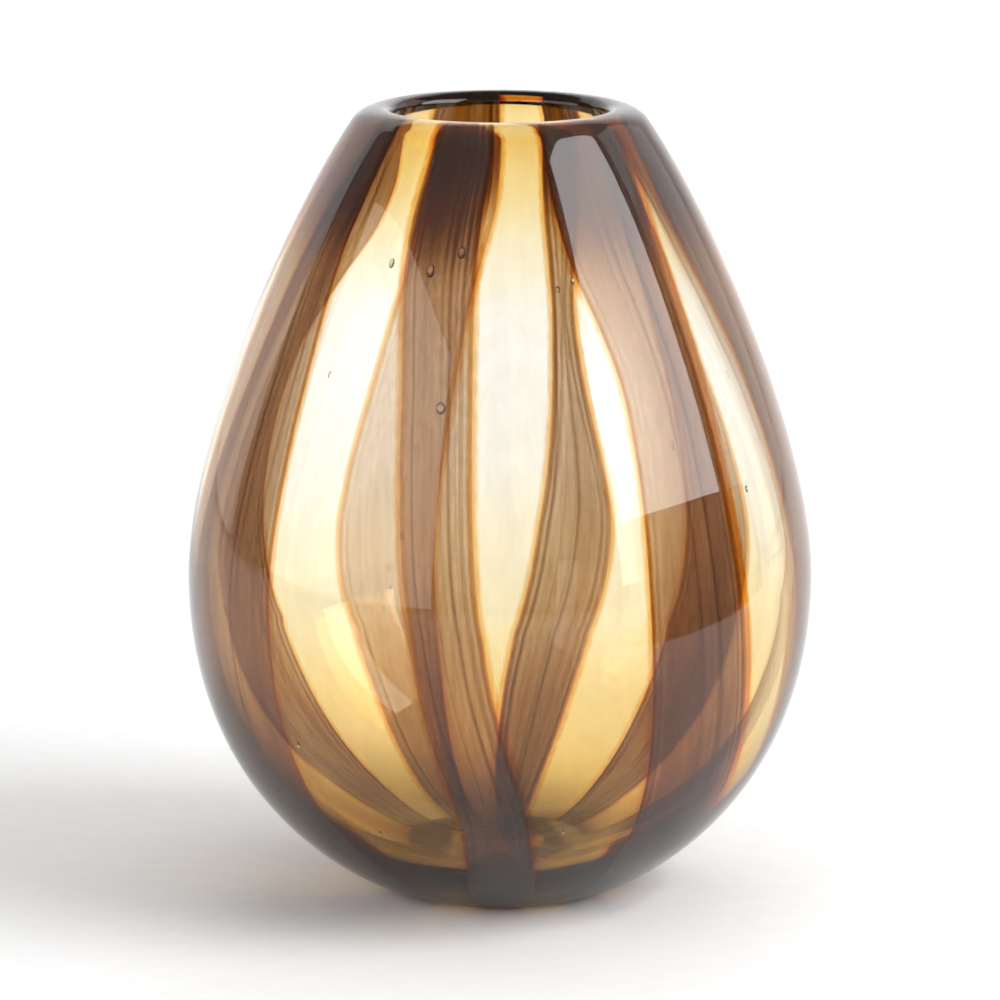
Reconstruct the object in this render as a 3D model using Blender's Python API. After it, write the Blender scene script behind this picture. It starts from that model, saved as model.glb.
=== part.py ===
"""Hand-blown striped glass vase, built as its glass layers.

An amber lining carries eight brown stripes let into its outer face, and a clear overlay cases both and forms
the fire-polished lip and the ground foot. Metres, +Z up, origin at the centre of the foot's resting face.
Azimuth 0 faces -Y and grows towards +X.

Every layer follows one wall. A station u runs up it: 0 to 1 is the base, 1 to 2 the lower body up to the
belly, 2 to 3 the upper body up to the lip. At each station the wall spans from the outer curve to the bore.
"""

import math

import bmesh
import bpy
from mathutils import Vector

# Outer form. A spread, drop or rise is how far a curve's handle stands off from its end point.
HEIGHT = 0.180
FOOT_RADIUS = 0.024
FOOT_SPREAD = 0.005
PUNTY_RADIUS = 0.011
PUNTY_DEPTH = 0.0008
BELLY_RADIUS = 0.0713
BELLY_HEIGHT = 0.0725
BELLY_DROP = 0.055
BELLY_RISE = 0.029
NECK_RADIUS = 0.0335
NECK_HEIGHT = 0.177
NECK_SPREAD = 0.0154
NECK_DROP = 0.0225
CREST_RADIUS = 0.0272
CREST_SPREAD = 0.0030
LIP_LEAN = 0.00095
LIP_CLIMB = 0.00139
INNER_LIP_RISE = 0.0004

# Bore.
BASE_THICKNESS = 0.0065
FLOOR_RADIUS = 0.018
FLOOR_SPREAD = 0.010
BORE_RADIUS = 0.0668
BORE_HEIGHT = 0.0735
BORE_DROP = 0.0515
BORE_RISE = 0.0265
MOUTH_RADIUS = 0.0240
MOUTH_HEIGHT = 0.1778
MOUTH_SPREAD = 0.0165
MOUTH_DROP = 0.0262

# Layers, as (foot, belly, neck) thicknesses measured across the wall.
COVER = (0.0022, 0.0016, 0.0024)
STRIPE = (0.0016, 0.0012, 0.0024)
STRIPE_EDGE_SHARE = 0.45
LAYER_GAP = 0.0004
GROOVE_DRAFT = 0.0003

# Stripes start beside the punty mark and end under the lip. Each groove starts a little sooner, on a ramp.
STRIPE_START = 0.50
GROOVE_LEAD = 0.03
GROOVE_RAMP = 0.06
LINING_TOP = 2.965
ACROSS = (0.0, 0.25, 0.5, 0.75, 1.0)

# Where a stripe's edges are given: foot, hip, belly, shoulder, neck and lip.
EDGE_STATIONS = (1.30, 1.65, 2.00, 2.50, 2.75, 3.00)
# Each stripe's two edges there, as azimuths in degrees.
STRIPES = {
    "brown_stripe_front": ((-10, 11), (-9, 6), (-16, -3), (-22, -6), (-27, -6), (-26, -2)),
    "brown_stripe_front_right": ((32, 56), (31, 57), (28, 50), (27, 49), (18, 49), (16, 54)),
    "brown_stripe_right": ((76, 97), (73, 97), (70, 97), (66, 96), (59, 98), (60, 101)),
    "brown_stripe_back_right": ((122, 142), (120, 142), (119, 139), (118, 136), (112, 134), (107, 131)),
    "brown_stripe_back": ((165, 182), (162, 179), (157, 172), (161, 167), (152, 166), (140, 160)),
    "brown_stripe_back_left": ((195, 212), (194, 212), (193, 215), (188, 209), (181, 206), (180, 212)),
    "brown_stripe_left": ((228, 250), (231, 256), (236, 261), (242, 261), (222, 262), (231, 264)),
    "brown_stripe_front_left": ((294, 327), (284, 317), (280, 314), (282, 313), (280, 312), (284, 314)),
}

# Facets.
OVERLAY_SEGMENTS = 64
LOWER_STEPS = 12
UPPER_STEPS = 10
LIP_STEPS = 4
SHORTEST_STEP = 0.01
WELD_DISTANCE = 0.000001
SHARP_ANGLE = 40

# Finish.
CLEAR_GLASS = (0.93, 0.93, 0.90)
AMBER_GLASS = (0.92, 0.62, 0.22)
BROWN_GLASS = (0.11, 0.055, 0.030)
POLISHED = 0.03
STREAKED = 0.05
GLASS_IOR = 1.5
SEE_THROUGH = 0.8


def bezier(points, t):
    """Point at t on the cubic Bezier curve with these four (radius, height) points."""
    a, b, c, d = (Vector(p) for p in points)
    s = 1.0 - t
    return a * s**3 + b * (3 * s * s * t) + c * (3 * s * t * t) + d * t**3


OUTER_LOWER = (
    (FOOT_RADIUS, 0.0),
    (FOOT_RADIUS + FOOT_SPREAD, 0.0),
    (BELLY_RADIUS, BELLY_HEIGHT - BELLY_DROP),
    (BELLY_RADIUS, BELLY_HEIGHT),
)
OUTER_UPPER = (
    (BELLY_RADIUS, BELLY_HEIGHT),
    (BELLY_RADIUS, BELLY_HEIGHT + BELLY_RISE),
    (NECK_RADIUS + NECK_SPREAD, NECK_HEIGHT - NECK_DROP),
    (NECK_RADIUS, NECK_HEIGHT),
)
OUTER_LIP = (
    (NECK_RADIUS, NECK_HEIGHT),
    (NECK_RADIUS - LIP_LEAN, NECK_HEIGHT + LIP_CLIMB),
    (CREST_RADIUS + CREST_SPREAD, HEIGHT),
    (CREST_RADIUS, HEIGHT),
)
BORE_LOWER = (
    (FLOOR_RADIUS, BASE_THICKNESS),
    (FLOOR_RADIUS + FLOOR_SPREAD, BASE_THICKNESS),
    (BORE_RADIUS, BORE_HEIGHT - BORE_DROP),
    (BORE_RADIUS, BORE_HEIGHT),
)
BORE_UPPER = (
    (BORE_RADIUS, BORE_HEIGHT),
    (BORE_RADIUS, BORE_HEIGHT + BORE_RISE),
    (MOUTH_RADIUS + MOUTH_SPREAD, MOUTH_HEIGHT - MOUTH_DROP),
    (MOUTH_RADIUS, MOUTH_HEIGHT),
)


def outer_point(u):
    """(radius, height) of the outer surface at station u."""
    if u <= 1.0:
        return Vector((FOOT_RADIUS * u, 0.0))
    if u <= 2.0:
        return bezier(OUTER_LOWER, u - 1.0)
    return bezier(OUTER_UPPER, u - 2.0)


def bore_point(u):
    """(radius, height) of the bore at station u."""
    if u <= 1.0:
        return Vector((FLOOR_RADIUS * u, BASE_THICKNESS))
    if u <= 2.0:
        return bezier(BORE_LOWER, u - 1.0)
    return bezier(BORE_UPPER, u - 2.0)


def graded(values, u):
    """A thickness that blends from its foot value to its belly value and on to its neck value."""
    foot, belly, neck = values
    if u <= 2.0:
        t = max(0.0, u - 1.0)
        return foot + (belly - foot) * t * t * (3 - 2 * t)
    t = u - 2.0
    return belly + (neck - belly) * t * t * (3 - 2 * t)


def wall_point(u, depth):
    """(radius, height) at this depth below the outer surface, along the wall at station u."""
    outer = outer_point(u)
    return outer + (bore_point(u) - outer).normalized() * depth


def placed(point, azimuth):
    """A (radius, height) point turned to an azimuth in degrees."""
    angle = math.radians(azimuth)
    return Vector((point.x * math.sin(angle), -point.x * math.cos(angle), point.y))


def smooth_between(values, u):
    """Value at station u on a smooth curve through the values given at EDGE_STATIONS, level at both ends."""
    given = EDGE_STATIONS
    if u <= given[0]:
        return values[0]
    for i in range(len(given) - 1):
        if u <= given[i + 1]:
            break
    span = given[i + 1] - given[i]
    t = (u - given[i]) / span

    def slope(k):
        if k in (0, len(given) - 1):
            return 0.0
        return (values[k + 1] - values[k - 1]) / (given[k + 1] - given[k - 1])

    rise = values[i + 1] - values[i]
    first = slope(i) * span
    last = slope(i + 1) * span
    return values[i] + first * t + (3 * rise - 2 * first - last) * t**2 + (first + last - 2 * rise) * t**3


def stripe_edges(name, u):
    """The azimuths of a stripe's two edges at station u."""
    lefts, rights = zip(*STRIPES[name])
    return smooth_between(lefts, u), smooth_between(rights, u)


def stripe_depth(u, across):
    """How thick a stripe is at station u, full in its middle and thinner at its edges."""
    share = STRIPE_EDGE_SHARE + (1.0 - STRIPE_EDGE_SHARE) * math.sin(math.pi * across)
    return graded(STRIPE, u) * share


def stations(first, last):
    """Stations from first to last: the foot's edge, then even steps up the two curves of the body."""
    inner = [1.0]
    inner += [1.0 + (i + 1) / LOWER_STEPS for i in range(LOWER_STEPS)]
    inner += [2.0 + (i + 1) / UPPER_STEPS for i in range(UPPER_STEPS - 1)]
    return [first] + [u for u in inner if first < u < last - SHORTEST_STEP] + [last]


def add_object(name, bm, color, roughness):
    """Makes the finished mesh an object with its own glass material."""
    bmesh.ops.recalc_face_normals(bm, faces=bm.faces)
    mesh = bpy.data.meshes.new(name)
    bm.to_mesh(mesh)
    bm.free()
    mesh.shade_smooth()
    mesh.set_sharp_from_angle(angle=math.radians(SHARP_ANGLE))
    material = bpy.data.materials.new(name)
    material.use_nodes = True
    shader = material.node_tree.nodes["Principled BSDF"]
    shader.inputs["Base Color"].default_value = (*color, 1.0)
    shader.inputs["Roughness"].default_value = roughness
    shader.inputs["Metallic"].default_value = 0.0
    shader.inputs["IOR"].default_value = GLASS_IOR
    shader.inputs["Transmission Weight"].default_value = SEE_THROUGH
    mesh.materials.append(material)
    part = bpy.data.objects.new(name, mesh)
    bpy.context.scene.collection.objects.link(part)
    return part


def loft(bm, loops):
    """Joins closed loops of equal length, each to the next, with every step split the same way.

    A stripe and its groove turn with their edges, so their steps are not flat. One way of splitting keeps
    the gap between them even.
    """
    rings = [[bm.verts.new(p) for p in loop] for loop in loops]
    for lower, upper in zip(rings, rings[1:]):
        for i in range(len(lower)):
            j = (i + 1) % len(lower)
            bm.faces.new((lower[i], lower[j], upper[j]))
            bm.faces.new((lower[i], upper[j], upper[i]))
    return rings


def cap_to_pole(bm, ring, point):
    """Closes a loop with a fan of triangles to one point on the axis."""
    pole = bm.verts.new(point)
    for i in range(len(ring)):
        bm.faces.new((ring[i], ring[(i + 1) % len(ring)], pole))


def overlay_profile():
    """(radius, height) points of the overlay's half section, from the punty mark over the lip and in."""
    outside = [Vector((0.0, PUNTY_DEPTH)), Vector((PUNTY_RADIUS, 0.0))]
    outside += [outer_point(u) for u in stations(1.0, 3.0)]
    lip = [bezier(OUTER_LIP, i / LIP_STEPS) for i in range(1, LIP_STEPS + 1)]
    inner_lip_height = MOUTH_HEIGHT + INNER_LIP_RISE
    for i in range(1, LIP_STEPS + 1):
        angle = 0.5 * math.pi * i / LIP_STEPS
        reach = (CREST_RADIUS - MOUTH_RADIUS) * math.sin(angle)
        drop = (HEIGHT - inner_lip_height) * (1.0 - math.cos(angle))
        lip.append(Vector((CREST_RADIUS - reach, HEIGHT - drop)))
    lip.append(bore_point(3.0))
    inside = [wall_point(u, graded(COVER, u)) for u in reversed(stations(1.0, 3.0))]
    inside.append(Vector((0.0, COVER[0])))
    return outside + lip + inside


def build_overlay():
    """Clear casing glass: a turned shell with the lip rolled over the layers inside it."""
    bm = bmesh.new()
    verts = [bm.verts.new((p.x, 0.0, p.y)) for p in overlay_profile()]
    edges = [bm.edges.new(pair) for pair in zip(verts, verts[1:])]
    bmesh.ops.spin(
        bm,
        geom=verts + edges,
        cent=(0.0, 0.0, 0.0),
        axis=(0.0, 0.0, 1.0),
        angle=2.0 * math.pi,
        steps=OVERLAY_SEGMENTS,
        use_merge=True,
    )
    bmesh.ops.remove_doubles(bm, verts=bm.verts, dist=WELD_DISTANCE)
    return add_object("clear_overlay", bm, CLEAR_GLASS, POLISHED)


def lining_columns(u):
    """(azimuth, depth) pairs round the lining's outer face at station u, with a groove per stripe."""
    radius = max(wall_point(u, graded(COVER, u)).x, 0.001)
    clearance = math.degrees(LAYER_GAP / radius)
    draft = math.degrees(GROOVE_DRAFT / radius)
    names = list(STRIPES)
    columns = []
    for i, name in enumerate(names):
        left, right = stripe_edges(name, u)
        next_left = stripe_edges(names[(i + 1) % len(names)], u)[0]
        if next_left < right:
            next_left += 360.0
        cut = u >= STRIPE_START - GROOVE_LEAD
        columns.append((left - clearance - draft, 0.0))
        for across in ACROSS:
            azimuth = left + (right - left) * across
            if across == 0.0:
                azimuth -= clearance
            if across == 1.0:
                azimuth += clearance
            columns.append((azimuth, stripe_depth(u, across) + LAYER_GAP if cut else 0.0))
        columns.append((right + clearance + draft, 0.0))
        columns.append((0.5 * (right + next_left), 0.0))
    return columns


def build_lining():
    """Amber first gather: the wall of the bore, with a shallow groove for each stripe in its outer face."""
    bm = bmesh.new()
    groove_start = STRIPE_START - GROOVE_LEAD
    rows = [groove_start - GROOVE_RAMP] + stations(groove_start, LINING_TOP)
    outside = []
    inside = []
    for u in rows:
        columns = lining_columns(u)
        face_depth = graded(COVER, u) + LAYER_GAP
        outside.append([placed(wall_point(u, face_depth + depth), azimuth) for azimuth, depth in columns])
        inside.append([placed(bore_point(u), azimuth) for azimuth, _ in columns])
    rings = loft(bm, outside + inside[::-1])
    cap_to_pole(bm, rings[0], (0.0, 0.0, COVER[0] + LAYER_GAP))
    cap_to_pole(bm, rings[-1], (0.0, 0.0, BASE_THICKNESS))
    return add_object("amber_lining", bm, AMBER_GLASS, POLISHED)


def build_stripe(name):
    """One brown bar, melted flat into the lining: flush outside and crowned towards the bore."""
    bm = bmesh.new()
    loops = []
    for u in stations(STRIPE_START, LINING_TOP):
        left, right = stripe_edges(name, u)
        face_depth = graded(COVER, u) + LAYER_GAP
        spread = [(left + (right - left) * across, across) for across in ACROSS]
        crown = [
            placed(wall_point(u, face_depth + stripe_depth(u, across)), azimuth) for azimuth, across in spread
        ]
        face = [placed(wall_point(u, face_depth), azimuth) for azimuth, _ in reversed(spread)]
        loops.append(crown + face)
    rings = loft(bm, loops)
    for ring in (rings[0], rings[-1]):
        half = len(ring) // 2
        for i in range(half - 1):
            bm.faces.new((ring[i], ring[i + 1], ring[-2 - i], ring[-1 - i]))
    return add_object(name, bm, BROWN_GLASS, STREAKED)


def main():
    """Clears the file and builds the vase from its bore outwards."""
    for leftover in list(bpy.data.objects):
        bpy.data.objects.remove(leftover)
    build_lining()
    for name in STRIPES:
        build_stripe(name)
    build_overlay()


main()
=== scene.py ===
"""Look of a hand-blown, cased and striped glass vase.

The vase is dressed as what it is. One wall of clear glass has two fire-polished faces that bend and mirror
the light. Inside that wall lie the amber gather and the brown bars. They are fused to it, so no light bends
between them, and they only take colour out of the light that crosses them.

Metres, +Z up. Azimuth 0 faces -Y and grows towards +X. A station runs up the wall: 0 to 1 is the base, 1 to
2 the lower body, 2 to 3 the upper body and 3 to 4 the lip, where both faces meet at its crest. FOOT, BELLY,
NECK and CREST name the stations where those stretches end.
"""

import logging
import math
from dataclasses import dataclass
from enum import Enum
from typing import Any, Iterable, Mapping, Sequence

import bpy
import numpy as np
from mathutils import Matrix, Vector


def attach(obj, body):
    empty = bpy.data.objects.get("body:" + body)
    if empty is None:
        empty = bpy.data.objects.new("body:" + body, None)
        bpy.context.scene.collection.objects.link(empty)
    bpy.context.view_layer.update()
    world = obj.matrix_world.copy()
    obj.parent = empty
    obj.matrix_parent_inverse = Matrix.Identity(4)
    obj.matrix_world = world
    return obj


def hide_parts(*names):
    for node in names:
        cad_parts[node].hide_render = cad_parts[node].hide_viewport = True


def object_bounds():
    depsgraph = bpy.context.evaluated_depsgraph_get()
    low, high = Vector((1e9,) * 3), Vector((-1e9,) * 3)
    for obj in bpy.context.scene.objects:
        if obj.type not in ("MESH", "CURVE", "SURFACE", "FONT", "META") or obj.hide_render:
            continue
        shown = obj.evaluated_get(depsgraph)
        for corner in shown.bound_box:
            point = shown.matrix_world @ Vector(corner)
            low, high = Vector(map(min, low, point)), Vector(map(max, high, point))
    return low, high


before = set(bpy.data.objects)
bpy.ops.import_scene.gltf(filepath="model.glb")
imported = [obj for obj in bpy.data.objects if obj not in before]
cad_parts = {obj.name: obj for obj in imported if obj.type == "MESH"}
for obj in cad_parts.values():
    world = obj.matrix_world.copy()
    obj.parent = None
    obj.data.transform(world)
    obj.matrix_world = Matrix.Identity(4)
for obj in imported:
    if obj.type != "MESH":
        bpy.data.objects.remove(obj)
CAD_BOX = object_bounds()

log = logging.getLogger("vase")

BODY = "root"
MM = 0.001
CREASE_ANGLE = 28.0
THINNEST = 0.00001

FOOT = 1.0
BELLY = 2.0
NECK = 3.0
CREST = 4.0


class Slot(Enum):
    """The record's material slots."""

    CLEAR = "clear_glass"
    AMBER = "amber_glass"
    BROWN = "brown_glass"


class Side(Enum):
    """A side of a bar, seen from outside the vase."""

    LEFT = "left"
    RIGHT = "right"


# ---- node and colour helpers


def linear(code: str, alpha: float = 1.0) -> tuple[float, float, float, float]:
    """Turns an sRGB hex colour into linear RGBA.

    Args:
        code: Six hex digits after a hash sign.
        alpha: Opacity of the result.

    Returns:
        The colour as Blender's sockets take it.
    """
    values = [int(code[i : i + 2], 16) / 255 for i in (1, 3, 5)]
    red, green, blue = [v / 12.92 if v <= 0.04045 else ((v + 0.055) / 1.055) ** 2.4 for v in values]
    return red, green, blue, alpha


def add_node(
    tree: bpy.types.NodeTree,
    kind: str,
    settings: Mapping[str, Any] | None = None,
    values: Mapping[str | int, Any] | None = None,
    links: Mapping[str | int, bpy.types.NodeSocket] | None = None,
    stops: Sequence[tuple[float, str]] = (),
) -> bpy.types.Node:
    """Adds a shader node with its settings, socket values, incoming links and colour stops.

    Args:
        tree: The node tree to add to.
        kind: Blender's node type without its ShaderNode prefix.
        settings: Attributes of the node itself.
        values: Default values by input name or index.
        links: Output sockets to connect, by input name or index.
        stops: (position, hex colour) pairs of a colour ramp, lowest first.

    Returns:
        The new node.
    """
    node = tree.nodes.new("ShaderNode" + kind)
    for name, value in (settings or {}).items():
        setattr(node, name, value)
    for key, value in (values or {}).items():
        node.inputs[key].default_value = value
    for key, socket in (links or {}).items():
        tree.links.new(socket, node.inputs[key])
    for number, (position, code) in enumerate(stops):
        elements = node.color_ramp.elements
        element = elements[number] if number < len(elements) else elements.new(position)
        element.position = position
        element.color = linear(code)
    return node


def new_material(name: str) -> tuple[bpy.types.Material, bpy.types.NodeTree, bpy.types.Node]:
    """A new material with its node tree and its shader."""
    material = bpy.data.materials.new(name)
    material.use_nodes = True
    return material, material.node_tree, material.node_tree.nodes["Principled BSDF"]


# ---- finishes


@dataclass(frozen=True)
class PolishedFace:
    """Soda-lime glass, blown and fire-polished: a clean mirror-smooth skin over a faint slow ripple.

    The ripple bends the mirrored lights a little, as hand-blown glass does. Fine cords left by the gather
    run up the wall and show only where a light edge crosses them.
    """

    name: str = "clear casing glass"
    ior: float = 1.5
    roughness: float = 0.0
    ripple_size: float = 0.016
    ripple_height: float = 0.00035
    ripple_strength: float = 0.10
    cord_size: float = 0.004
    stretch_up: float = 0.35

    def make(self) -> bpy.types.Material:
        """Builds the material.

        Returns:
            The material.
        """
        material, tree, shader = new_material(self.name)
        place = add_node(tree, "TexCoord").outputs["Object"]
        drawn = (1.0, 1.0, self.stretch_up)
        stretch = add_node(tree, "Mapping", values={"Scale": drawn}, links={"Vector": place})
        ripple = add_node(
            tree,
            "TexNoise",
            values={"Scale": 1.0 / self.ripple_size, "Detail": 1.0, "Roughness": 0.4},
            links={"Vector": stretch.outputs["Vector"]},
        )
        bump = add_node(
            tree,
            "Bump",
            values={"Strength": self.ripple_strength, "Distance": self.ripple_height},
            links={"Height": ripple.outputs["Fac"]},
        )
        cords = add_node(
            tree,
            "TexNoise",
            values={"Scale": 1.0 / self.cord_size, "Detail": 2.0, "Roughness": 0.5},
            links={"Vector": stretch.outputs["Vector"]},
        )
        stops = ((0.30, "#fcfbf9"), (0.55, "#fffffe"))
        tint = add_node(tree, "ValToRGB", links={"Fac": cords.outputs["Fac"]}, stops=stops)
        tree.links.new(tint.outputs["Color"], shader.inputs["Base Color"])
        tree.links.new(bump.outputs["Normal"], shader.inputs["Normal"])
        shader.inputs["IOR"].default_value = self.ior
        shader.inputs["Roughness"].default_value = self.roughness
        shader.inputs["Transmission Weight"].default_value = 1.0
        return material


@dataclass(frozen=True)
class ColouredGlass:
    """Transparent coloured glass, fused inside clear glass.

    Its index matches the glass round it, so its faces neither bend nor mirror light. The depth of glass
    that the light crosses sets how dark it looks, and faint streaks of the melt run up it.
    """

    name: str
    passes: tuple[float, float, float]
    strength: float
    streak_low: str
    streak_high: str
    streak_size: float = 0.0011
    clear_share: float = 1.0
    streak_stretch: float = 0.03

    def make(self) -> bpy.types.Material:
        """Builds the material.

        Returns:
            The material.
        """
        material, tree, shader = new_material(self.name)
        place = add_node(tree, "TexCoord").outputs["Object"]
        drawn = (1.0, 1.0, self.streak_stretch)
        stretch = add_node(tree, "Mapping", values={"Scale": drawn}, links={"Vector": place})
        streaks = add_node(
            tree,
            "TexNoise",
            values={"Scale": 1.0 / self.streak_size, "Detail": 3.0, "Roughness": 0.55},
            links={"Vector": stretch.outputs["Vector"]},
        )
        stops = ((0.32, self.streak_low), (0.62, self.streak_high))
        tint = add_node(tree, "ValToRGB", links={"Fac": streaks.outputs["Fac"]}, stops=stops)
        tree.links.new(tint.outputs["Color"], shader.inputs["Base Color"])
        shader.inputs["IOR"].default_value = 1.0
        shader.inputs["Roughness"].default_value = 0.0
        shader.inputs["Specular IOR Level"].default_value = 0.0
        shader.inputs["Transmission Weight"].default_value = self.clear_share
        colour = {"Color": (*self.passes, 1.0), "Density": self.strength}
        absorb = add_node(tree, "VolumeAbsorption", values=colour)
        tree.links.new(absorb.outputs["Volume"], tree.nodes["Material Output"].inputs["Volume"])
        return material


AMBER_FINISH = ColouredGlass(
    name="honey amber glass",
    passes=(0.925, 0.70, 0.0),
    strength=800.0,
    streak_low="#fefcf8",
    streak_high="#ffffff",
)
BROWN_FINISH = ColouredGlass(
    name="tobacco brown bar glass",
    passes=(0.55, 0.32, 0.0),
    strength=1950.0,
    streak_low="#ead7c6",
    streak_high="#f3e4d6",
    streak_stretch=0.008,
    clear_share=0.93,
)
EDGE_FINISH = ColouredGlass(
    name="burnt amber bar edge",
    passes=(0.92, 0.61, 0.0),
    strength=2200.0,
    streak_low="#f6ead9",
    streak_high="#fffdf8",
)


# ---- the wall


def bezier(points: Sequence[tuple[float, float]], t: np.ndarray) -> np.ndarray:
    """Points at t on a cubic Bezier curve.

    Args:
        points: The four (radius, height) points of the curve.
        t: Places along it, 0 to 1.

    Returns:
        An array of (radius, height) rows.
    """
    a, b, c, d = (np.asarray(p) for p in points)
    t = np.asarray(t)[:, None]
    s = 1.0 - t
    return a * s**3 + b * 3 * s * s * t + c * 3 * s * t * t + d * t**3


def smoothstep(t: np.ndarray) -> np.ndarray:
    """Eases 0 to 1, flat at both ends."""
    t = np.clip(t, 0.0, 1.0)
    return t * t * (3.0 - 2.0 * t)


def eased(u: np.ndarray, knots: Sequence[float], values: Sequence[float]) -> np.ndarray:
    """Values given at knots, held outside them and eased between them.

    Args:
        u: Where to read the values.
        knots: Rising places at which they are given.
        values: One value for each knot.

    Returns:
        The value at each place.
    """
    total = np.full_like(np.asarray(u, dtype=float), values[0])
    for start, end, low, high in zip(knots, knots[1:], values, values[1:]):
        total = total + (high - low) * smoothstep((u - start) / (end - start))
    return total


# The ripple's waves: the whole turns that they stay under, their climb for each station, and how fast they
# weaken.
RIPPLE_TURNS = 7
RIPPLE_CLIMB = 3.5
RIPPLE_CALMING = 0.3


def waves(u: np.ndarray, azimuth: np.ndarray, seed: int, count: int = 7) -> np.ndarray:
    """A slow seamless ripple round and up the wall, between -1 and 1.

    Args:
        u: Stations.
        azimuth: Azimuths in degrees, the same shape as u.
        seed: Chooses the pattern.
        count: How many waves are summed.

    Returns:
        The ripple's height at each place.
    """
    rng = np.random.default_rng(seed)
    total = np.zeros_like(np.asarray(u, dtype=float) + np.asarray(azimuth, dtype=float))
    weight = 0.0
    for _ in range(count):
        turns = int(rng.integers(1, RIPPLE_TURNS))
        climb = rng.uniform(-RIPPLE_CLIMB, RIPPLE_CLIMB)
        phase = rng.uniform(0.0, 2.0 * math.pi)
        share = 1.0 / (1.0 + RIPPLE_CALMING * turns)
        total = total + share * np.sin(np.radians(azimuth) * turns + climb * u + phase)
        weight += share
    return total / weight


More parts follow.
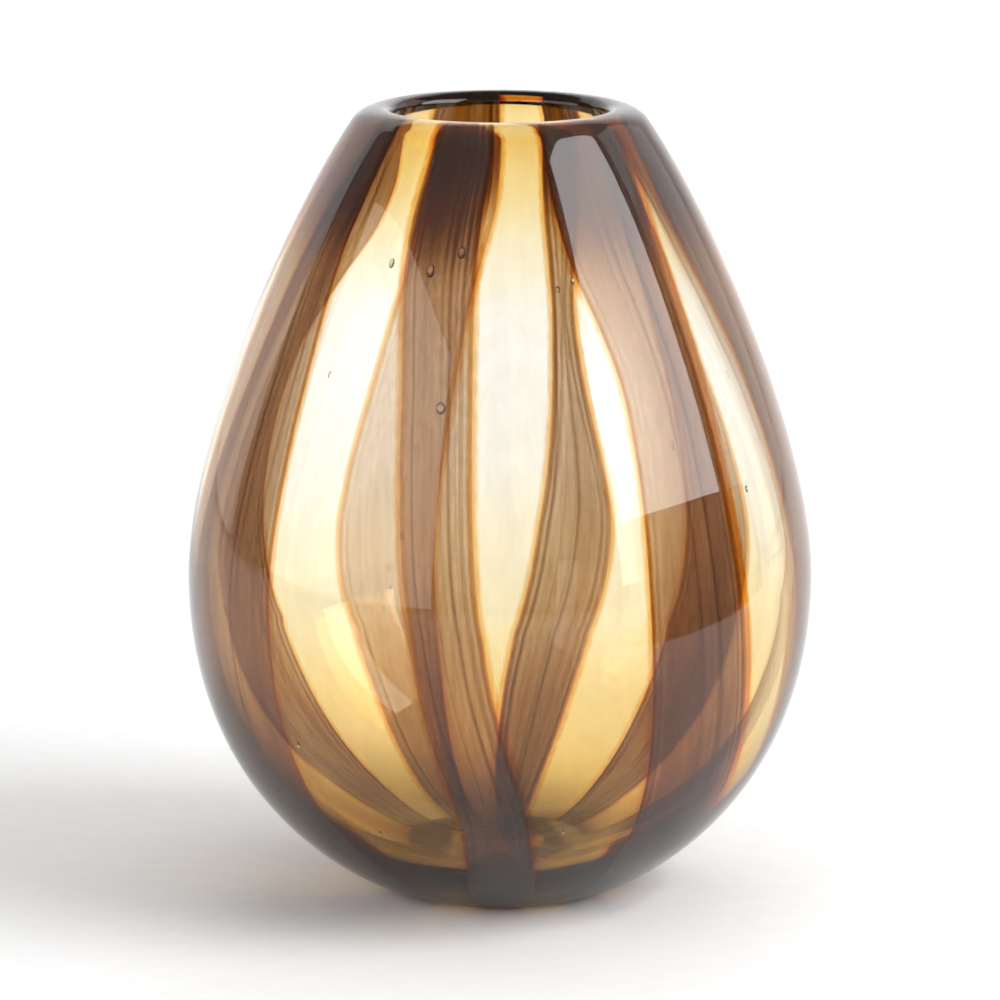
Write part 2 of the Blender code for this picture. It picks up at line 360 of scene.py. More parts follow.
@dataclass(frozen=True)
class Wall:
    """The blown wall: its two faces, and places inside it.

    Lengths are in metres. The height and the belly come from the CAD box, and the ripple only cuts into the
    outer face. Each spread, drop, rise, lean and climb is how far a curve's handle stands from its end.
    """

    height: float
    belly_radius: float
    belly_height: float = 0.0725
    belly_drop: float = 0.055
    belly_rise: float = 0.029
    foot_radius: float = 0.024
    foot_spread: float = 0.005
    punty_radius: float = 0.011
    punty_depth: float = 0.0008
    neck_radius: float = 0.0335
    neck_height: float = 0.1770
    neck_spread: float = 0.0154
    neck_drop: float = 0.0225
    lip_lean: float = 0.00095
    lip_climb: float = 0.00139
    crest_radius: float = 0.0272
    crest_spread: float = 0.0030
    floor_radius: float = 0.018
    floor_height: float = 0.0065
    floor_spread: float = 0.010
    bore_radius: float = 0.0668
    bore_height: float = 0.0735
    bore_drop: float = 0.0515
    bore_rise: float = 0.0265
    mouth_radius: float = 0.0240
    mouth_height: float = 0.1778
    mouth_spread: float = 0.0165
    mouth_drop: float = 0.0262
    outer_ripple: float = 0.00022
    outer_pattern: int = 3
    bore_ripple: float = 0.00045
    bore_pattern: int = 8

    def outer(self, u: np.ndarray) -> np.ndarray:
        """The outer face.

        Args:
            u: Stations.

        Returns:
            A (radius, height) row for each station.
        """
        u = np.asarray(u, dtype=float)
        lower = (
            (self.foot_radius, 0.0),
            (self.foot_radius + self.foot_spread, 0.0),
            (self.belly_radius, self.belly_height - self.belly_drop),
            (self.belly_radius, self.belly_height),
        )
        upper = (
            (self.belly_radius, self.belly_height),
            (self.belly_radius, self.belly_height + self.belly_rise),
            (self.neck_radius + self.neck_spread, self.neck_height - self.neck_drop),
            (self.neck_radius, self.neck_height),
        )
        rim = (
            (self.neck_radius, self.neck_height),
            (self.neck_radius - self.lip_lean, self.neck_height + self.lip_climb),
            (self.crest_radius + self.crest_spread, self.height),
            (self.crest_radius, self.height),
        )
        base = np.stack([self.foot_radius * u, np.zeros_like(u)], -1)
        lip = bezier(rim, np.clip(u - NECK, 0.0, 1.0))
        return self.joined(u, base, lower, upper, lip)

    def bore(self, u: np.ndarray) -> np.ndarray:
        """The inner face.

        Args:
            u: Stations.

        Returns:
            A (radius, height) row for each station.
        """
        u = np.asarray(u, dtype=float)
        lower = (
            (self.floor_radius, self.floor_height),
            (self.floor_radius + self.floor_spread, self.floor_height),
            (self.bore_radius, self.bore_height - self.bore_drop),
            (self.bore_radius, self.bore_height),
        )
        upper = (
            (self.bore_radius, self.bore_height),
            (self.bore_radius, self.bore_height + self.bore_rise),
            (self.mouth_radius + self.mouth_spread, self.mouth_height - self.mouth_drop),
            (self.mouth_radius, self.mouth_height),
        )
        base = np.stack([self.floor_radius * u, np.full_like(u, self.floor_height)], -1)
        turn = 0.5 * math.pi * np.clip(u - NECK, 0.0, 1.0)
        radius = self.crest_radius - (self.crest_radius - self.mouth_radius) * np.cos(turn)
        height = self.mouth_height + (self.height - self.mouth_height) * np.sin(turn)
        return self.joined(u, base, lower, upper, np.stack([radius, height], -1))

    @staticmethod
    def joined(
        u: np.ndarray, base: np.ndarray, lower: Sequence, upper: Sequence, lip: np.ndarray
    ) -> np.ndarray:
        """Picks the base, the lower body, the upper body or the lip for each station.

        Args:
            u: Stations.
            base: The base's row for each station.
            lower: The four points of the lower body's curve.
            upper: The four points of the upper body's curve.
            lip: The lip's row for each station.

        Returns:
            A (radius, height) row for each station.
        """
        body_low = bezier(lower, np.clip(u - FOOT, 0.0, 1.0))
        body_high = bezier(upper, np.clip(u - BELLY, 0.0, 1.0))
        pick = u[:, None]
        body = np.where(pick <= BELLY, body_low, np.where(pick <= NECK, body_high, lip))
        return np.where(pick <= FOOT, base, body)

    def thickness(self, u: np.ndarray) -> np.ndarray:
        """Distance across the wall at each station, held at the neck's value round the lip."""
        u = np.minimum(np.asarray(u, dtype=float), NECK)
        return np.linalg.norm(self.bore(u) - self.outer(u), axis=1)

    def place(self, u: np.ndarray, depth: np.ndarray, azimuth: np.ndarray) -> np.ndarray:
        """Places inside the wall.

        Args:
            u: One station per row.
            depth: Depth below the outer face in metres, rows by columns.
            azimuth: Azimuths in degrees, rows by columns.

        Returns:
            An array of x, y, z for each row and column.
        """
        u = np.asarray(u, dtype=float)
        outer = self.outer(u)[:, None, :]
        bore = self.bore(u)[:, None, :]
        share = (depth / self.thickness(u)[:, None])[..., None]
        rows = across_rows(u, azimuth.shape[1])
        calm = self.calm(rows)
        lift_out = self.outer_ripple * (0.5 + 0.5 * waves(rows, azimuth, self.outer_pattern)) * calm
        lift_in = self.bore_ripple * waves(rows, azimuth, self.bore_pattern) * calm
        outward = -(bore - outer) / np.maximum(np.linalg.norm(bore - outer, axis=-1, keepdims=True), 1e-6)
        shift = -lift_out[..., None] * (1.0 - share) + lift_in[..., None] * share
        flat = outer + (bore - outer) * share + outward * shift
        angle = np.radians(azimuth)
        return np.stack([flat[..., 0] * np.sin(angle), -flat[..., 0] * np.cos(angle), flat[..., 1]], -1)

    @staticmethod
    def calm(u: np.ndarray) -> np.ndarray:
        """How much of the ripple each station shows: none at the ground foot and at the lip's crest."""
        return smoothstep((u - FOOT) / 0.5) * (1.0 - smoothstep((u - NECK) / 0.9))


def across_rows(values: np.ndarray, columns: int) -> np.ndarray:
    """One value for each row, repeated across its columns."""
    return np.repeat(values[:, None], columns, 1)


def full_turn(rows: int, columns: int) -> np.ndarray:
    """Azimuths all the way round, the same for each row."""
    return np.tile(np.linspace(0.0, 360.0, columns, endpoint=False), (rows, 1))


def grid_faces(rows: int, columns: int, closed: bool, start: int = 0) -> list[tuple[int, int, int, int]]:
    """Quads between neighbouring rows of points.

    Args:
        rows: How many rows.
        columns: How many points in a row.
        closed: Whether each row joins up with itself.
        start: Index of the first point.

    Returns:
        The faces, turned so that rows going up with azimuth growing face outwards.
    """
    faces = []
    last = columns if closed else columns - 1
    for r in range(rows - 1):
        for c in range(last):
            d = (c + 1) % columns
            low, high = start + r * columns, start + (r + 1) * columns
            faces.append((low + c, low + d, high + d, high + c))
    return faces


def closed_faces(rows: int, columns: int) -> list[Sequence[int]]:
    """Faces of a body of rings, whose first and last ring are each closed by a fan to a pole.

    Args:
        rows: How many rings.
        columns: How many points in a ring.

    Returns:
        The faces. The first ring's pole comes straight after the rings, and then the last ring's.
    """
    faces: list[Sequence[int]] = list(grid_faces(rows, columns, True))
    pole = rows * columns
    last = pole - columns
    for c in range(columns):
        d = (c + 1) % columns
        faces.append((d, c, pole))
        faces.append((last + c, last + d, pole + 1))
    return faces


def make_piece(
    name: str,
    points: np.ndarray,
    faces: Iterable[Sequence[int]],
    finish: bpy.types.Material,
    stands_for: Sequence[str] = (),
) -> bpy.types.Object:
    """Makes a smooth piece that rides on the vase's body.

    Args:
        name: The piece's name.
        points: x, y, z rows.
        faces: Vertex indices of each face.
        finish: The piece's material.
        stands_for: CAD nodes that it replaces.

    Returns:
        The new object.
    """
    mesh = bpy.data.meshes.new(name)
    mesh.from_pydata(points.reshape(-1, 3).tolist(), [], [tuple(int(i) for i in f) for f in faces])
    mesh.validate()
    mesh.shade_smooth()
    mesh.set_sharp_from_angle(angle=math.radians(CREASE_ANGLE))
    mesh.materials.append(finish)
    piece = bpy.data.objects.new(name, mesh)
    bpy.context.scene.collection.objects.link(piece)
    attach(piece, BODY)
    if stands_for:
        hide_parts(*stands_for)
    log.info("%s: %d points, %d faces", name, len(mesh.vertices), len(mesh.polygons))
    return piece


# ---- pieces


@dataclass(frozen=True)
class Seed:
    """One small bubble in the glass, drawn out along the wall as it was blown.

    Azimuth is in degrees, and the other sizes are in millimetres. A seed lies flatter than it is wide, and
    a wide one lies deeper below the outer face.
    """

    azimuth: float
    height: float
    length: float
    width: float
    depth: float = 0.5
    flatness: float = 0.32


SEEDS = (
    Seed(-18.5, 150, 3.0, 1.9),
    Seed(-10.5, 154, 2.8, 1.8),
    Seed(-12.5, 122, 2.7, 2.2),
    Seed(-30.0, 151, 2.3, 1.3),
    Seed(19.0, 148, 1.6, 0.9),
    Seed(-24.0, 172, 1.4, 0.9),
    Seed(55.0, 100, 1.6, 1.0),
    Seed(-42.0, 44, 1.6, 1.1),
    Seed(14.0, 26, 1.5, 1.0),
    Seed(-28.0, 24, 1.3, 0.9),
    Seed(-20.5, 88, 1.0, 0.5),
    Seed(-20.0, 84, 0.9, 0.5),
    Seed(-21.0, 79, 1.0, 0.5),
    Seed(73.0, 90, 1.2, 0.7),
    Seed(105.0, 120, 2.0, 1.2),
    Seed(140.0, 96, 2.2, 1.4),
    Seed(165.0, 132, 1.8, 1.2),
    Seed(-160.0, 70, 2.0, 1.3),
    Seed(-135.0, 115, 1.8, 1.1),
    Seed(-100.0, 60, 2.0, 1.2),
)


@dataclass(frozen=True)
class ClearCasing:
    """The clear glass with its two polished faces, the rolled lip, the foot and the seeds.

    Each core is the share of a disc's radius that the fan at its middle takes up.
    """

    wall: Wall
    columns: int = 288
    body_rows: int = 96
    lip_rows: int = 18
    foot_rings: int = 10
    foot_core: float = 0.04
    floor_rings: int = 8
    floor_core: float = 0.08
    seed_rings: int = 9
    seed_sides: int = 14

    def section(self) -> tuple[np.ndarray, np.ndarray]:
        """The casing's section, from the foot over the lip to the floor of the bore.

        Returns:
            Stations, and for each the share of the wall's thickness at which the point lies.
        """
        lower = np.linspace(FOOT, BELLY, self.body_rows)
        upper = np.linspace(BELLY, NECK, self.body_rows)[1:]
        body = np.concatenate([lower, upper, np.linspace(NECK, CREST, self.lip_rows)[1:]])
        inside = body[::-1][1:]
        return np.concatenate([body, inside]), np.concatenate([np.zeros(len(body)), np.ones(len(inside))])

    def build(self) -> bpy.types.Object:
        """Builds and dresses the casing.

        Returns:
            The piece.
        """
        wall = self.wall
        stations, share = self.section()
        depth = across_rows(share * wall.thickness(stations), self.columns)
        body = wall.place(stations, depth, full_turn(len(stations), self.columns))
        foot_radii = np.linspace(self.foot_core, 1.0, self.foot_rings)[:-1] * wall.foot_radius
        floor_radii = (np.linspace(self.floor_core, 1.0, self.floor_rings)[:-1] * wall.floor_radius)[::-1]
        under = self.disc(foot_radii, self.punty_height(foot_radii))
        floor = self.disc(floor_radii, np.full_like(floor_radii, wall.floor_height))
        rings = np.concatenate([under, body, floor])
        points = [rings.reshape(-1, 3), [[0.0, 0.0, wall.punty_depth]], [[0.0, 0.0, wall.floor_height]]]
        faces = closed_faces(len(rings), self.columns)
        total = len(rings) * self.columns + 2
        for seed in SEEDS:
            seed_points, seed_faces = self.bubble(seed, total)
            points.append(seed_points)
            faces += seed_faces
            total += len(seed_points)
        everything = np.concatenate([np.asarray(p) for p in points])
        glass = PolishedFace().make()
        return make_piece("clear_casing", everything, faces, glass, ["clear_overlay"])

    def punty_height(self, radius: np.ndarray) -> np.ndarray:
        """Height of the underside: a shallow polished hollow inside a flat ground ring."""
        return self.wall.punty_depth * (1.0 - smoothstep(radius / self.wall.punty_radius))

    def disc(self, radii: np.ndarray, heights: np.ndarray) -> np.ndarray:
        """Level rings of points.

        Args:
            radii: The radius of each ring.
            heights: The height of each ring.

        Returns:
            An array of x, y, z for each ring and column.
        """
        angle = np.radians(full_turn(len(radii), self.columns))
        radius = across_rows(radii, self.columns)
        height = across_rows(heights, self.columns)
        return np.stack([radius * np.sin(angle), -radius * np.cos(angle), height], -1)

    def bubble(self, seed: Seed, start: int) -> tuple[np.ndarray, list[Sequence[int]]]:
        """A closed hollow in the glass, facing its own middle.

        Args:
            seed: The bubble's place and size.
            start: Index of its first point in the casing.

        Returns:
            Its points and its faces.
        """
        rings, around = self.seed_rings, self.seed_sides
        wall = self.wall
        samples = np.linspace(FOOT, NECK, 400)
        station = np.interp(seed.height * MM, wall.outer(samples)[:, 1], samples)
        u = np.array([station - 0.01, station, station + 0.01])
        depth = np.full((3, 1), (seed.depth + 0.25 * seed.width) * MM)
        low, centre, high = (p[0] for p in wall.place(u, depth, np.full((3, 1), seed.azimuth)))
        up = (high - low) / np.linalg.norm(high - low)
        angle = math.radians(seed.azimuth)
        side = np.array([math.cos(angle), math.sin(angle), 0.0])
        out = np.cross(side, up)
        polar = np.linspace(0.0, math.pi, rings + 2)[1:-1]
        turn = np.linspace(0.0, 2.0 * math.pi, around, endpoint=False)
        half_long, half_wide = seed.length * MM / 2, seed.width * MM / 2
        half_deep = seed.width * MM * seed.flatness
        ring = side * half_wide * np.cos(turn)[:, None] + out * half_deep * np.sin(turn)[:, None]
        rows = [centre + up * half_long * -math.cos(p) + math.sin(p) * ring for p in polar]
        points = np.concatenate(rows + [[centre - up * half_long], [centre + up * half_long]])
        faces = [f[::-1] for f in grid_faces(rings, around, True, start)]
        bottom = start + rings * around
        last = bottom - around
        for c in range(around):
            d = (c + 1) % around
            faces.append((bottom, start + c, start + d))
            faces.append((bottom + 1, last + d, last + c))
        return points, faces


@dataclass(frozen=True)
class Layers:
    """How deep each layer of coloured glass lies in the wall, in metres.

    Fullest is the most that a thread may thicken a bar, as a share of its thickness. Shoulder, first and
    last are stations: where a bar starts to thicken, and where the coloured glass starts and ends.
    """

    cover_foot: float = 0.0016
    cover_belly: float = 0.0012
    cover_neck: float = 0.0020
    bar_foot: float = 0.0012
    bar_belly: float = 0.0010
    bar_neck: float = 0.0016
    shoulder: float = 2.5
    fullest: float = 1.9
    gap: float = 0.00012
    first: float = 0.50
    last: float = 3.62

    def cover(self, u: np.ndarray) -> np.ndarray:
        """Clear glass above the bars."""
        return eased(u, (FOOT, BELLY, NECK), (self.cover_foot, self.cover_belly, self.cover_neck))

    def bar(self, u: np.ndarray) -> np.ndarray:
        """Full thickness of a bar."""
        sizes = (self.bar_foot, self.bar_belly, self.bar_belly, self.bar_neck)
        return eased(u, (FOOT, BELLY, self.shoulder, NECK), sizes)

    def amber(self, u: np.ndarray) -> np.ndarray:
        """Thickness of the amber gather, which was blown thin at the belly and left thick at both ends."""
        knots = (0.0, 1.0, 1.35, 1.60, 1.85, 2.20, 2.45, 2.60, 2.75, 2.90, 3.05)
        sizes = (0.70, 1.20, 1.60, 1.30, 0.56, 0.12, 0.04, 0.08, 0.48, 1.15, 2.30)
        return eased(u, knots, sizes) * MM


@dataclass(frozen=True)
class AmberGather:
    """The amber glass of the first gather, behind the bars.

    Its outer face stays at least room_behind from the bore, and its inner face at least skin.
    """

    wall: Wall
    layers: Layers
    columns: int = 144
    rows: int = 110
    base_rows: int = 8
    base_core: float = 0.12
    room_behind: float = 0.0009
    skin: float = 0.0004

    def build(self) -> bpy.types.Object:
        """Builds and dresses the gather as one closed body.

        Returns:
            The gather.
        """
        layers = self.layers
        base = np.linspace(self.base_core, FOOT, self.base_rows)[:-1]
        u = np.concatenate([base, np.linspace(FOOT, layers.last, self.rows)])
        azimuth = full_turn(len(u), self.columns)
        wide = self.wall.thickness(u)
        below_bars = layers.cover(u) + layers.bar(u) * layers.fullest + layers.gap * 2
        top = np.minimum(below_bars, wide - self.room_behind)
        deep = np.minimum(top + layers.amber(u), wide - self.skin)
        outside = self.wall.place(u, across_rows(top, self.columns), azimuth)
        inside = self.wall.place(u, across_rows(deep, self.columns), azimuth)
        rings = np.concatenate([outside, inside[::-1]])
        poles = [[0.0, 0.0, float(outside[0, 0, 2])], [0.0, 0.0, float(inside[0, 0, 2])]]
        points = np.concatenate([rings.reshape(-1, 3), poles])
        faces = closed_faces(len(rings), self.columns)
        return make_piece("amber_gather", points, faces, AMBER_FINISH.make(), ["amber_lining"])


# A row of a bar's CAD solid shares its radius and height to one part in ROW_GRID of a metre. Only the flush
# face has rows of FLUSH_POINTS points or more. Their stations are found on a curve of STATION_SAMPLES
# points.
ROW_GRID = 50000
FLUSH_POINTS = 5
LOWEST_STATION = 0.3
STATION_SAMPLES = 1081


@dataclass(frozen=True)
class Lane:
    """The course of one bar up the wall, read from its CAD node."""

    stations: np.ndarray
    left: np.ndarray
    right: np.ndarray

    @classmethod
    def from_node(cls, name: str, wall: Wall, depth: float) -> "Lane":
        """Reads a bar's two edges from the flush face of its CAD solid.

        Args:
            name: The CAD node.
            wall: The wall it lies in.
            depth: A typical depth of the flush face, used to find each row's station.

        Returns:
            The bar's course.
        """
        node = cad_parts[name]
        points = np.array([node.matrix_world @ v.co for v in node.data.vertices])
        radius = np.hypot(points[:, 0], points[:, 1])
        middle = points[:, :2].sum(0)
        heading = math.degrees(math.atan2(middle[0], -middle[1]))
        azimuth = np.degrees(np.arctan2(points[:, 0], -points[:, 1]))
        azimuth = (azimuth - heading + 180.0) % 360.0 - 180.0 + heading
        rows: dict[tuple[int, int], list[float]] = {}
        for r, z, a in zip(radius, points[:, 2], azimuth):
            rows.setdefault((round(r * ROW_GRID), round(z * ROW_GRID)), []).append(a)
        samples = np.linspace(LOWEST_STATION, NECK, STATION_SAMPLES)
        curve = wall.place(samples, np.full((len(samples), 1), depth), np.zeros((len(samples), 1)))[:, 0]
        found = []
        for (r, z), angles in rows.items():
            if len({round(a, 2) for a in angles}) < FLUSH_POINTS:
                continue
            distance = np.hypot(-curve[:, 1] - r / ROW_GRID, curve[:, 2] - z / ROW_GRID)
            found.append((samples[int(np.argmin(distance))], min(angles), max(angles)))
        found.sort()
        u, left, right = (np.array(column) for column in zip(*found))
        return cls(u, left, right)

    def edges(self, u: np.ndarray) -> tuple[np.ndarray, np.ndarray]:
        """The azimuths of both edges at each station, on smooth curves."""
        return self.smooth(u, self.left), self.smooth(u, self.right)

    def smooth(self, u: np.ndarray, values: np.ndarray) -> np.ndarray:
        """Cubic through the values at the lane's stations, held at both ends.

        Args:
            u: Where to read the curve.
            values: One value for each of the lane's stations.

        Returns:
            The value at each place.
        """
        slopes = np.gradient(values, self.stations)
        u = np.clip(u, self.stations[0], self.stations[-1])
        i = np.clip(np.searchsorted(self.stations, u, side="right") - 1, 0, len(self.stations) - 2)
        span = self.stations[i + 1] - self.stations[i]
        t = (u - self.stations[i]) / span
        rise = values[i + 1] - values[i]
        a, b = slopes[i] * span, slopes[i + 1] * span
        return values[i] + a * t + (3 * rise - 2 * a - b) * t**2 + (a + b - 2 * rise) * t**3


@dataclass(frozen=True)
class Pull:
    """How one bar was drawn out: its fullness up the wall, and the side that was left thin.

    The right bead is the size of the bead along the right edge, compared with the usual one. The thin side is
    thinnest at station thin_at, by thin_share of its fullness, and fades out over thin_reach to each side.
    """

    seed: int
    foot: float = 1.0
    hip: float = 1.0
    belly: float = 0.6
    shoulder: float = 0.6
    neck: float = 1.0
    thin_side: Side | None = None
    thin_at: float = 2.42
    thin_reach: float = 0.27
    thin_share: float = 0.50
    right_bead: float = 1.0

    def fullness(self, u: np.ndarray) -> np.ndarray:
        """Share of the full thickness at each station."""
        knots = (1.30, 1.55, 1.95, 2.30, 2.66, 2.82)
        return eased(u, knots, (self.foot, self.hip, self.belly, self.shoulder, self.shoulder, self.neck))

    def lean(self, u: np.ndarray, across: np.ndarray) -> np.ndarray:
        """How much thinner one side is in the upper body.

        Args:
            u: Stations, one per row.
            across: Places across the bar, 0 at its left edge and 1 at its right.

        Returns:
            The share of the fullness that is left, rows by columns.
        """
        if self.thin_side is None:
            return np.ones((len(u), len(across)))
        side = 1.0 - across if self.thin_side is Side.LEFT else across
        spell = np.exp(-(((u - self.thin_at) / self.thin_reach) ** 2))[:, None]
        return 1.0 - self.thin_share * spell * smoothstep((side[None, :] - 0.45) / 0.35)


PULLS = {
    "brown_stripe_front": Pull(seed=21, foot=0.95, hip=1.05, shoulder=0.36, neck=1.5),
    "brown_stripe_front_right": Pull(
        seed=22, foot=1.6, hip=1.35, belly=0.92, shoulder=0.80, neck=1.7, thin_side=Side.LEFT, right_bead=1.7
    ),
    "brown_stripe_right": Pull(seed=23, foot=1.2, hip=1.15, belly=0.48, shoulder=0.36, neck=0.8),
    "brown_stripe_back_right": Pull(seed=24, belly=0.50, shoulder=0.40),
    "brown_stripe_back": Pull(seed=25, hip=1.10, belly=0.58, shoulder=0.45, neck=1.1),
    "brown_stripe_back_left": Pull(seed=26, hip=0.80, belly=0.17, shoulder=0.13),
    "brown_stripe_left": Pull(seed=27, belly=0.55, shoulder=0.50, neck=0.9),
    "brown_stripe_front_left": Pull(seed=28, foot=1.3, hip=1.35, belly=0.46, shoulder=0.50, neck=1.3),
}


@dataclass(frozen=True)
class EdgeThread:
    """A thread that follows an edge of a bar, with its place and width in millimetres in from that edge.

    Its size is how much it adds to the bar's fullness, or takes from it where it is below 0.
    """

    place: float
    width: float
    size: float


EDGE_THREADS = (
    EdgeThread(0.8, 0.42, 1.2),
    EdgeThread(1.8, 0.30, -0.40),
    EdgeThread(2.6, 0.28, 1.2),
    EdgeThread(3.6, 0.40, -0.30),
)


@dataclass(frozen=True)
class BrownBar:
    """One brown bar with its threads, and the burnt amber beads where its colour bled out along both edges.

    Each pair of numbers is a range that threads are drawn from, with widths in millimetres.
    """

    node: str
    pull: Pull
    wall: Wall
    layers: Layers
    brown: bpy.types.Material
    edge: bpy.types.Material
    columns: int = 160
    rows: int = 150
    base_rows: int = 7
    flush_depth: float = 0.0022
    edge_fall: float = 14.0
    edge_width: float = 0.0014
    edge_thickness: float = 0.00058
    edge_thickest: float = 0.0009
    edge_steps: int = 15
    edge_sway: tuple[float, float] = (0.05, 0.35)
    broad_threads: int = 5
    broad_width: tuple[float, float] = (1.2, 2.6)
    broad_size: tuple[float, float] = (-0.30, 0.35)
    fine_threads: int = 16
    fine_width: tuple[float, float] = (0.22, 0.45)
    fine_size: tuple[float, float] = (-0.35, 0.95)
    least_share: float = 0.15

    def build(self) -> None:
        """Builds and dresses the bar and its edges."""
        layers = self.layers
        lane = Lane.from_node(self.node, self.wall, self.flush_depth)
        base = np.linspace(layers.first, FOOT, self.base_rows)[:-1]
        u = np.concatenate([base, np.linspace(FOOT, layers.last, self.rows)])
        left, right = lane.edges(u)
        self.build_bar(u, left, right)
        self.build_edges(u, left, right)

    def build_bar(self, u: np.ndarray, left: np.ndarray, right: np.ndarray) -> None:
        """The bar: flush outside, crowned and ribbed towards the bore. Its columns crowd towards its edges.

        Args:
            u: Stations, one per row.
            left: The left edge's azimuth at each station.
            right: The right edge's azimuth at each station.
        """
        even = np.linspace(0.0, 1.0, self.columns)
        across = 0.5 * even + 0.25 - 0.25 * np.cos(math.pi * even)
        azimuth = left[:, None] + (right - left)[:, None] * across[None, :]
        wide = np.radians(right - left) * self.wall.outer(u)[:, 0]
        profile = 1.0 - np.abs(2.0 * across - 1.0) ** self.edge_fall
        share = profile[None, :] * self.threads(u, across, wide)
        share = share * self.pull.lean(u, across) * self.pull.fullness(u)[:, None]
        thick = self.layers.bar(u)[:, None] * np.clip(share, 0.0, self.layers.fullest)
        top = across_rows(self.layers.cover(u), self.columns)
        self.band(self.node + "_bar", u, azimuth, top, top + np.maximum(thick, THINNEST), self.brown, True)

    def threads(self, u: np.ndarray, across: np.ndarray, wide: np.ndarray) -> np.ndarray:
        """Threads of darker and lighter glass drawn out along the bar, closest together near its edges.

        Args:
            u: Stations, one per row.
            across: Places across the bar, 0 at its left edge and 1 at its right.
            wide: The bar's width in metres at each station.

        Returns:
            The bar's fullness, rows by columns, about 1 where there is no thread.
        """
        rng = np.random.default_rng(self.pull.seed)
        total = np.ones((len(u), len(across)))
        from_left = across[None, :] * wide[:, None] / MM
        from_right = wide[:, None] / MM - from_left
        for side in (from_left, from_right):
            for thread in EDGE_THREADS:
                most = rng.uniform(*self.edge_sway)
                sway = most * np.sin(rng.uniform(1.0, 4.0) * u + rng.uniform(0.0, 6.28))
                reach = (side - thread.place - sway[:, None]) / thread.width
                total += thread.size * self.fade(rng, u) * np.exp(-(reach**2))
        for number in range(self.broad_threads + self.fine_threads):
            broad = number < self.broad_threads
            middle = rng.uniform(0.1, 0.9)
            drift = rng.uniform(0.004, 0.03)
            middle = middle + drift * np.sin(rng.uniform(0.8, 2.5) * u + number)
            width = rng.uniform(*(self.broad_width if broad else self.fine_width))
            size = rng.uniform(*(self.broad_size if broad else self.fine_size))
            reach = (from_left - middle[:, None] * wide[:, None] / MM) / width
            total += size * self.fade(rng, u) * np.exp(-(reach**2))
        return np.clip(total, self.least_share, None)

    @staticmethod
    def fade(rng: np.random.Generator, u: np.ndarray) -> np.ndarray:
        """How strongly a thread shows at each station, as one column."""
        return (0.62 + 0.38 * np.sin(rng.uniform(0.7, 3.2) * u + rng.uniform(0.0, 6.28)))[:, None]

    def build_edges(self, u: np.ndarray, left: np.ndarray, right: np.ndarray) -> None:
        """A thin bead along each edge of the bar, just above it.

        Args:
            u: Stations, one per row.
            left: The left edge's azimuth at each station.
            right: The right edge's azimuth at each station.
        """
        steps = np.linspace(-1.0, 1.0, self.edge_steps)
        arch = np.maximum(np.cos(0.5 * math.pi * steps), 0.0) ** 1.5
        base = across_rows(self.layers.cover(u) - self.layers.gap, self.edge_steps)
        radius = np.maximum(self.wall.outer(u)[:, 0], self.wall.punty_radius)
        for side, middle, size in ((Side.LEFT, left, 1.0), (Side.RIGHT, right, self.pull.right_bead)):
            azimuth = middle[:, None] + np.degrees(self.edge_width * size / radius)[:, None] * steps[None, :]
            bead = np.clip(self.edge_thickness * size * arch, THINNEST, self.edge_thickest)
            name = f"{self.node}_{side.value}_edge"
            self.band(name, u, azimuth, base - bead[None, :], base, self.edge, False)

    def band(
        self,
        name: str,
        u: np.ndarray,
        azimuth: np.ndarray,
        top: np.ndarray,
        deep: np.ndarray,
        finish: bpy.types.Material,
        replaces: bool,
    ) -> None:
        """Makes one closed strip between two depths.

        Args:
            name: The piece's name.
            u: Stations, one per row.
            azimuth: Azimuths, rows by columns.
            top: Depth of the outer face, rows by columns.
            deep: Depth of the inner face, rows by columns.
            finish: Its material.
            replaces: Whether the strip stands for the bar's CAD node.
        """
        rows, columns = azimuth.shape
        outside = self.wall.place(u, top, azimuth)
        inside = self.wall.place(u, deep, azimuth)
        loops = np.concatenate([outside, inside[:, ::-1]], 1)
        faces: list[Sequence[int]] = list(grid_faces(rows, 2 * columns, True))
        for row, turn in ((0, -1), (rows - 1, 1)):
            start = row * 2 * columns
            for c in range(columns - 1):
                d = 2 * columns - 1 - c
                faces.append((start + c, start + c + 1, start + d - 1, start + d)[::turn])
        make_piece(name, loops, faces, finish, [self.node] if replaces else [])


# ---- the studio


def stage_mesh(
    name: str, points: Sequence, faces: Sequence, material: bpy.types.Material
) -> bpy.types.Object:
    """Adds a mesh that belongs to the studio.

    Args:
        name: The mesh's name.
        points: x, y, z rows.
        faces: Vertex indices of each face.
        material: What it is made of.

    Returns:
        The new object.
    """
    mesh = bpy.data.meshes.new(name)
    mesh.from_pydata(points, [], faces)
    mesh.shade_smooth()
    mesh.materials.append(material)
    thing = bpy.data.objects.new(name, mesh)
    bpy.context.scene.collection.objects.link(thing)
    return thing


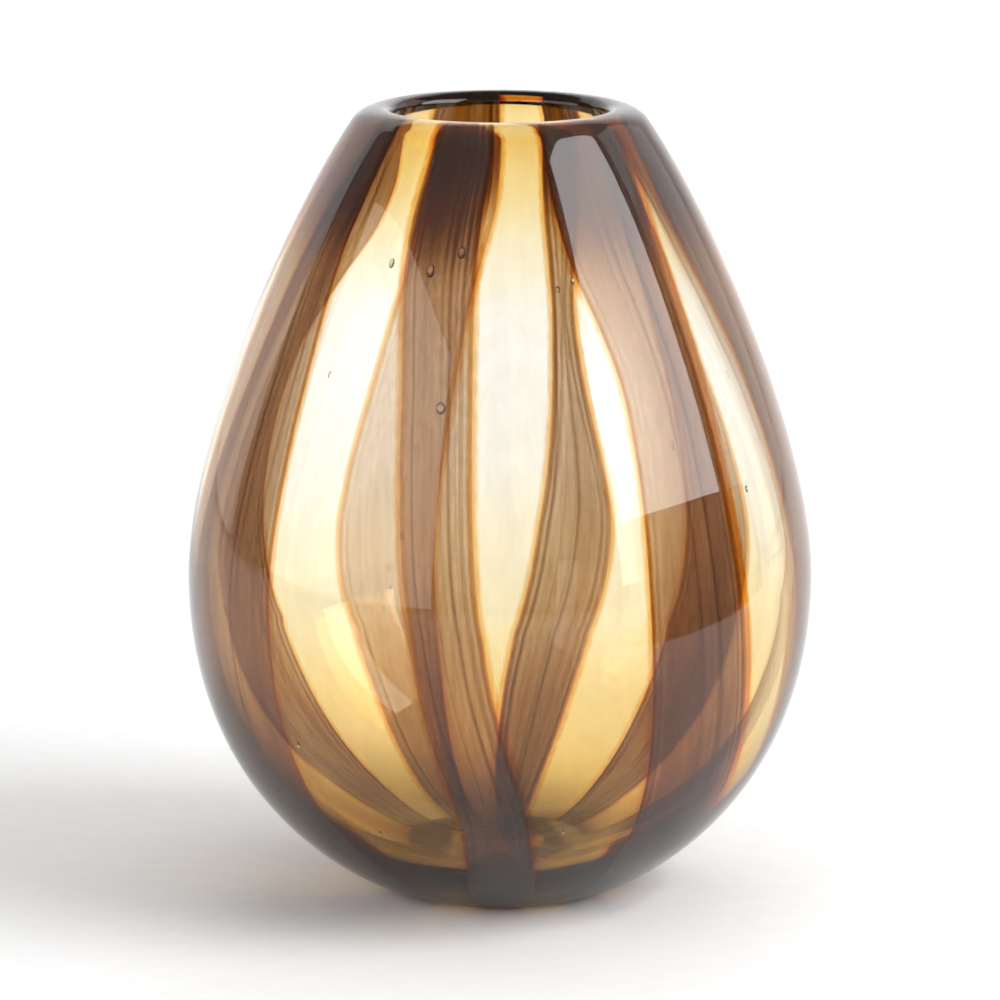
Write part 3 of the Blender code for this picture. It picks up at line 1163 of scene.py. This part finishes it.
@dataclass(frozen=True)
class Sweep:
    """A sheet of pale matt paper that lies under the vase and curves up behind it.

    Near and far are the places of its ends, bend is the radius of its curve, and top is how high it goes.
    """

    width: float = 3.2
    near: float = -2.2
    far: float = 1.9
    bend: float = 0.6
    top: float = 2.0
    grain: float = 1.0 / 900.0

    def build(self) -> bpy.types.Object:
        """Builds the sheet.

        Returns:
            The sheet.
        """
        bend = self.bend
        start = self.far - bend
        curve = np.linspace(0.0, math.pi / 2, 13)[1:]
        course = [(self.near, 0.0), (start, 0.0)]
        course += [(start + bend * math.sin(a), bend - bend * math.cos(a)) for a in curve]
        course.append((self.far, self.top))
        points = [(x, y, z) for y, z in course for x in (-self.width, self.width)]
        faces = [(2 * i, 2 * i + 1, 2 * i + 3, 2 * i + 2) for i in range(len(course) - 1)]
        return stage_mesh("sweep", points, faces, self.paper())

    def paper(self) -> bpy.types.Material:
        """Matt coated paper, which gives the eye an even pale ground.

        Returns:
            The material.
        """
        material, tree, shader = new_material("pale paper sweep")
        grain = add_node(tree, "TexNoise", values={"Scale": 1.0 / self.grain, "Detail": 2.0})
        stops = ((0.3, "#f5f5f5"), (0.7, "#f8f8f8"))
        tint = add_node(tree, "ValToRGB", links={"Fac": grain.outputs["Fac"]}, stops=stops)
        tree.links.new(tint.outputs["Color"], shader.inputs["Base Color"])
        shader.inputs["Roughness"].default_value = 0.75
        shader.inputs["Specular IOR Level"].default_value = 0.1
        return material


@dataclass(frozen=True)
class Softbox:
    """A standing softbox that the glass mirrors.

    Azimuths and elevations are the directions of its edges from the vase, in degrees.
    """

    name: str
    azimuths: tuple[float, float]
    elevations: tuple[float, float]
    away: float
    glow: float

    def build(self, middle: Vector) -> None:
        """Builds the softbox.

        Args:
            middle: The middle of the vase.
        """
        material, tree, shader = new_material(self.name)
        tree.nodes.remove(shader)
        light = add_node(tree, "Emission", values={"Color": linear("#ffffff"), "Strength": self.glow})
        tree.links.new(light.outputs["Emission"], tree.nodes["Material Output"].inputs["Surface"])
        heading = math.radians(sum(self.azimuths) / 2)
        half = math.tan(math.radians(abs(self.azimuths[1] - self.azimuths[0]) / 2)) * self.away
        centre = Vector((math.sin(heading), -math.cos(heading), 0.0)) * self.away
        side = Vector((math.cos(heading), math.sin(heading), 0.0)) * half
        rises = (middle.z + math.tan(math.radians(e)) * self.away for e in self.elevations)
        low, high = (Vector((0.0, 0.0, z)) for z in rises)
        corners = (centre - side + low, centre + side + low, centre + side + high, centre - side + high)
        thing = stage_mesh(self.name, [tuple(p) for p in corners], [(0, 3, 2, 1)], material)
        thing.visible_camera = False


@dataclass(frozen=True)
class Flag:
    """A black card, standing on the floor, that only the glass mirrors. It gives the studio a dark gap."""

    name: str
    start: tuple[float, float]
    end: tuple[float, float]
    top: float

    def build(self) -> None:
        """Builds the card."""
        material, _, shader = new_material(self.name)
        shader.inputs["Base Color"].default_value = linear("#1a1817")
        shader.inputs["Roughness"].default_value = 0.9
        points = [(*self.start, 0.0), (*self.end, 0.0), (*self.end, self.top), (*self.start, self.top)]
        thing = stage_mesh(self.name, points, [(0, 1, 2, 3)], material)
        thing.visible_camera = False
        thing.visible_diffuse = False
        thing.visible_transmission = False
        thing.visible_shadow = False


@dataclass(frozen=True)
class Lamp:
    """A round soft lamp that the glass neither mirrors nor shows.

    It is aimed at the vase unless it has its own aim.
    """

    name: str
    place: tuple[float, float, float]
    size: float
    power: float
    aim: tuple[float, float, float] | None = None

    def build(self, middle: Vector) -> None:
        """Builds the lamp.

        Args:
            middle: The middle of the vase.
        """
        data = bpy.data.lights.new(self.name, "AREA")
        data.shape = "DISK"
        data.size = self.size
        data.energy = self.power
        lamp = bpy.data.objects.new(self.name, data)
        lamp.location = self.place
        target = Vector(self.aim) if self.aim else middle
        lamp.rotation_euler = (target - lamp.location).to_track_quat("-Z", "Y").to_euler()
        lamp.visible_glossy = False
        lamp.visible_transmission = False
        bpy.context.scene.collection.objects.link(lamp)


SOFTBOXES = (
    Softbox("right softbox", (46.0, 92.0), (6.5, 54.0), 1.25, 5.6),
    Softbox("left softbox", (-92.0, -24.0), (-2.0, 38.0), 1.45, 2.0),
    Softbox("right wall", (97.0, 142.0), (-2.0, 45.0), 1.75, 1.1),
    Softbox("left wall", (-165.0, -118.0), (-2.0, 45.0), 1.75, 1.1),
    Softbox("front wall", (-23.0, 44.0), (-2.0, 34.0), 2.1, 0.45),
)
RIGHT_FLAG = Flag("right flag", (0.20, -0.26), (0.66, 0.20), 0.16)
LAMPS = (
    Lamp("key", (1.35, -0.50, 1.15), 1.0, 22.0),
    Lamp("overhead", (0.25, 0.35, 2.2), 2.4, 13.0),
    Lamp("backdrop light", (0.0, 1.5, 1.2), 0.8, 4.5, (0.0, 1.7, 0.0)),
)


@dataclass(frozen=True)
class Studio:
    """A pale sweep, large soft lights and the camera. Distance is in metres, and elevation in degrees."""

    middle: Vector
    distance: float = 1.30
    elevation: float = 11.8
    lens: float = 205.2
    dim_light: float = 0.16

    def build(self) -> None:
        """Sets out the whole studio."""
        Sweep().build()
        for softbox in SOFTBOXES:
            softbox.build(self.middle)
        RIGHT_FLAG.build()
        for lamp in LAMPS:
            lamp.build(self.middle)
        self.world()
        self.camera()
        self.light_paths()
        log.info("the studio is set")

    def world(self) -> None:
        """A dim even light from everywhere else."""
        world = bpy.data.worlds.new("dim studio")
        bpy.context.scene.world = world
        world.use_nodes = True
        background = world.node_tree.nodes["Background"]
        background.inputs["Color"].default_value = linear("#ffffff")
        background.inputs["Strength"].default_value = self.dim_light

    def camera(self) -> None:
        """The camera, a little above the vase and square to its front."""
        data = bpy.data.cameras.new("camera")
        data.lens = self.lens
        data.sensor_width = 36.0
        data.clip_start, data.clip_end = 0.05, 20.0
        camera = bpy.data.objects.new("camera", data)
        angle = math.radians(self.elevation)
        back = Vector((0.0, -math.cos(angle), math.sin(angle)))
        camera.location = self.middle + back * self.distance
        camera.rotation_euler = (-back).to_track_quat("-Z", "Y").to_euler()
        bpy.context.scene.collection.objects.link(camera)
        bpy.context.scene.camera = camera

    @staticmethod
    def light_paths() -> None:
        """Lets light cross the many faces of layered glass, and shows it without a film curve."""
        scene = bpy.context.scene
        scene.cycles.max_bounces = 64
        scene.cycles.transmission_bounces = 64
        scene.cycles.glossy_bounces = 8
        scene.cycles.diffuse_bounces = 4
        scene.cycles.transparent_max_bounces = 32
        scene.view_settings.view_transform = "Standard"


AIM_DROP = 0.0005


def main() -> None:
    """Builds the vase from its casing inwards, then the studio."""
    low, high = CAD_BOX
    wall = Wall(height=high.z - low.z, belly_radius=(high.x - low.x) / 2)
    layers = Layers()
    ClearCasing(wall).build()
    AmberGather(wall, layers).build()
    brown, edge = BROWN_FINISH.make(), EDGE_FINISH.make()
    bars = sorted(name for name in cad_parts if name.startswith("brown_stripe"))
    for name in bars:
        BrownBar(name, PULLS[name], wall, layers, brown, edge).build()
        log.info("%s is dressed", name)
    Studio(middle=Vector((0.0, 0.0, (low.z + high.z) / 2 - AIM_DROP))).build()


if __name__ == "__main__":
    logging.basicConfig(level=logging.INFO, format="%(name)s: %(message)s")
    main()
